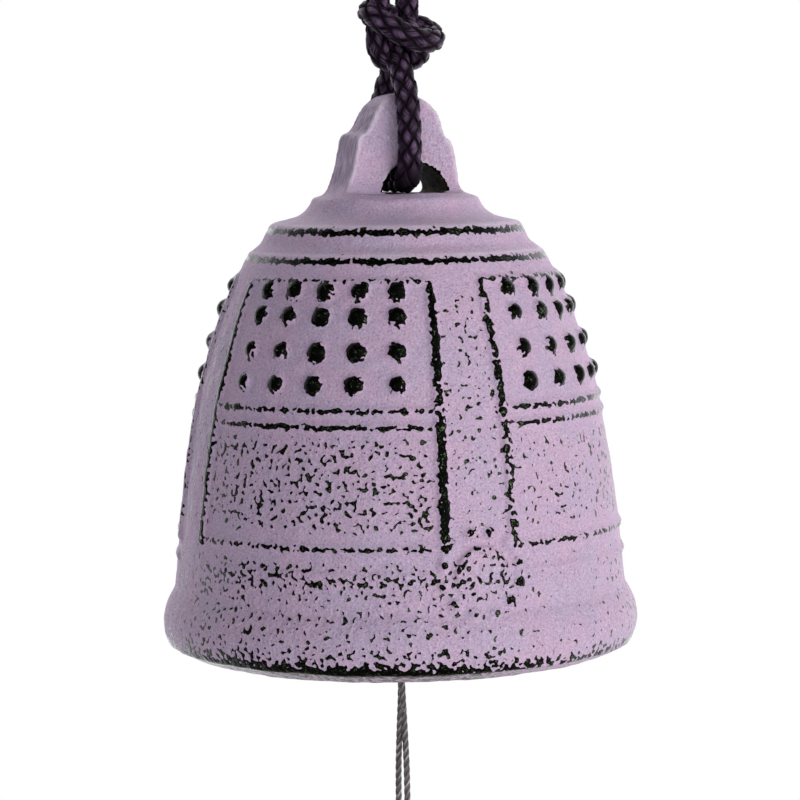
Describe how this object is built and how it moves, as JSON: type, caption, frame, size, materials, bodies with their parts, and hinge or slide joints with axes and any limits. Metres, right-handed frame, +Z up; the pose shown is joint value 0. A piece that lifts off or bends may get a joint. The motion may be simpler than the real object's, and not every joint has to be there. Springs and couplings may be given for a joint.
{
  "type": "wind bell",
  "caption": "Cast-iron wind bell in temple-bell form, painted matte and rubbed on its relief, hung by a braided cord, with a clapper disc and a paper wind strip on a string.",
  "frame": {"origin": "where the hanging loop bears on its hook", "axes": "+Z up, along the bell's axis; the lug's flat faces look along Y and a striking seat faces -Y"},
  "size_m": [0.0652, 0.0652, 0.3104],
  "materials": {
    "painted_iron": "matte lilac paint rubbed through to greenish-black iron on the relief",
    "bare_iron": "dark oxidised cast iron",
    "iron_wire": "dull dark wire",
    "hanging_cord": "dark aubergine braided cord",
    "clapper_cord": "grey-brown twisted string",
    "washi": "plain handmade paper"
  },
  "bodies": {
    "end_knot": {"end_knot": "hanging_cord"},
    "sling": {"sling_left": "hanging_cord", "sling_right": "hanging_cord"},
    "main_knot": {"main_knot": "hanging_cord"},
    "lug_cord": {"lug_cord": "hanging_cord"},
    "bell": {"bell_casting": "painted_iron", "clapper_staple": "iron_wire", "string_hitch": "clapper_cord"},
    "eye_knot": {"eye_knot": "clapper_cord"},
    "clapper": {"clapper_string": "clapper_cord", "clapper_disc": "bare_iron", "stop_knot": "clapper_cord"},
    "tail": {"tail_string": "clapper_cord"},
    "strip_loop": {"strip_loop": "clapper_cord"},
    "strip": {"paper_strip": "washi"}
  },
  "joints": [
    {"name": "loop_swing", "type": "hinge", "parent": "end_knot", "child": "sling", "pos_m": [0, 0, 0], "axis": [0, 1, 0], "range_deg": [-25, 25]},
    {"name": "knot_swing", "type": "hinge", "parent": "sling", "child": "main_knot", "pos_m": [0, 0, -0.046], "axis": [1, 0, 0], "range_deg": [-20, 20]},
    {"name": "bell_twist", "type": "hinge", "parent": "main_knot", "child": "lug_cord", "pos_m": [0, 0, -0.046], "axis": [0, 0, 1], "range_deg": [-90, 90]},
    {"name": "bell_rock", "type": "hinge", "parent": "lug_cord", "child": "bell", "pos_m": [0, 0, -0.06555], "axis": [0, 1, 0], "range_deg": [-15, 15]},
    {"name": "clapper_turn", "type": "hinge", "parent": "bell", "child": "eye_knot", "pos_m": [0, 0, -0.08239], "axis": [0, 0, 1], "continuous": true},
    {"name": "clapper_swing", "type": "hinge", "parent": "eye_knot", "child": "clapper", "pos_m": [0, 0, -0.08239], "axis": [0, 1, 0], "range_deg": [-22, 22]},
    {"name": "tail_swing", "type": "hinge", "parent": "clapper", "child": "tail", "pos_m": [0, 0, -0.11774], "axis": [1, 0, 0], "range_deg": [-25, 25]},
    {"name": "strip_twist", "type": "hinge", "parent": "tail", "child": "strip_loop", "pos_m": [0, 0, -0.13914], "axis": [0, 0, 1], "continuous": true},
    {"name": "strip_sway", "type": "hinge", "parent": "strip_loop", "child": "strip", "pos_m": [0, 0, -0.16404], "axis": [0, 1, 0], "range_deg": [-30, 30]}
  ]
}
